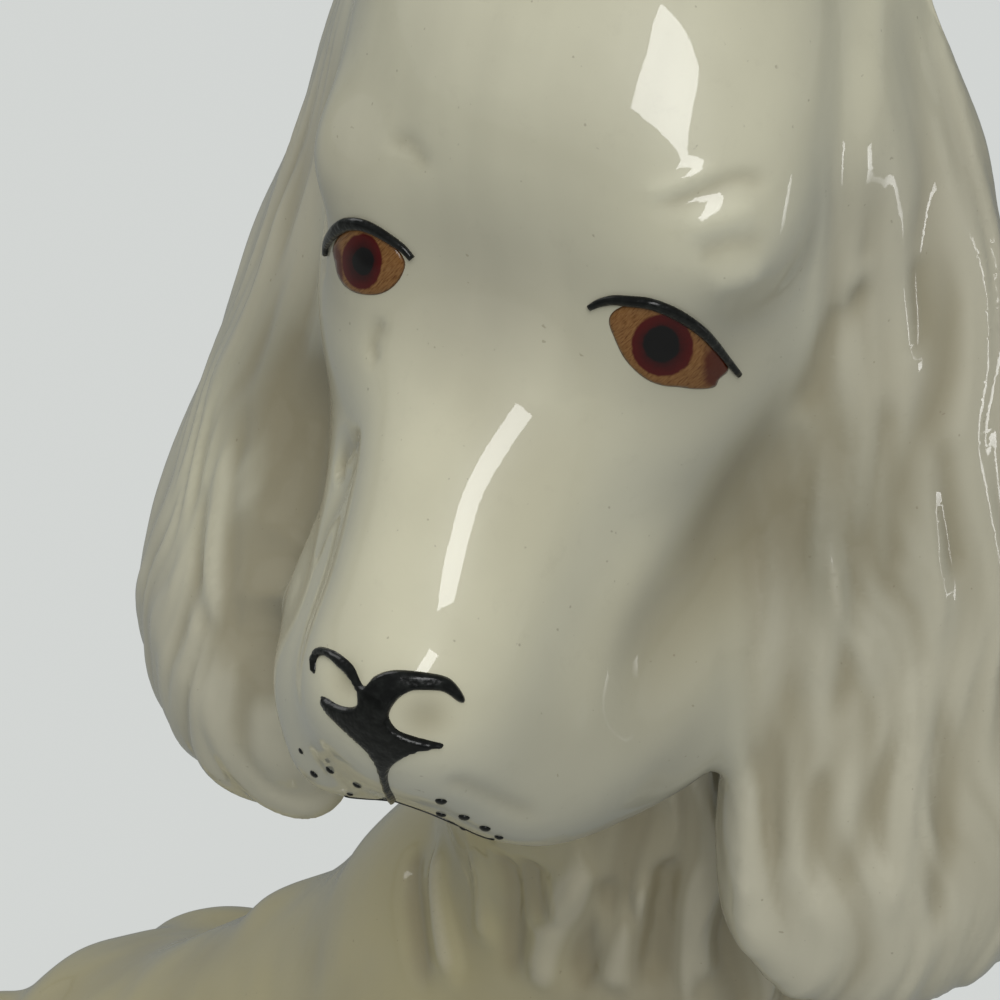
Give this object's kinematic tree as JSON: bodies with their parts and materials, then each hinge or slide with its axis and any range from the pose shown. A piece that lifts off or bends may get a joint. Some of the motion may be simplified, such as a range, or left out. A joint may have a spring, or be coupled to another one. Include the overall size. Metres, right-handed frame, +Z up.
{
  "type": "porcelain spaniel figurine",
  "caption": "Hollow glazed porcelain figurine of a seated long-eared spaniel with a lowered head, glossy domed eyes and a raised black enamel nose, standing free on its base",
  "frame": {"origin": "middle of the figurine's footprint box, on the ground it sits on", "axes": "+Z is up, the body faces +X, and the head is turned to look along -Y"},
  "size_m": [0.2088, 0.1224, 0.2822],
  "materials": {
    "head_glaze": "clear gloss glaze over cool white porcelain",
    "ear_glaze": "clear gloss glaze over grey-beige tinted porcelain",
    "body_glaze": "clear gloss glaze over warm cream porcelain",
    "eye_glaze": "high gloss glaze over painted amber and red-brown",
    "black_enamel": "raised glossy black enamel with brush marks"
  },
  "bodies": {
    "root": {"head_casting": "head_glaze", "body_casting": "body_glaze", "ear_left": "ear_glaze", "ear_right": "ear_glaze", "foreleg_left": "body_glaze", "foreleg_right": "body_glaze", "hind_leg_left": "body_glaze", "hind_leg_right": "body_glaze", "tail": "body_glaze", "eye_left": "eye_glaze", "eye_right": "eye_glaze", "lid_line_left": "black_enamel", "lid_line_right": "black_enamel", "nose_enamel": "black_enamel", "mouth_line": "black_enamel"}
  },
  "joints": []
}
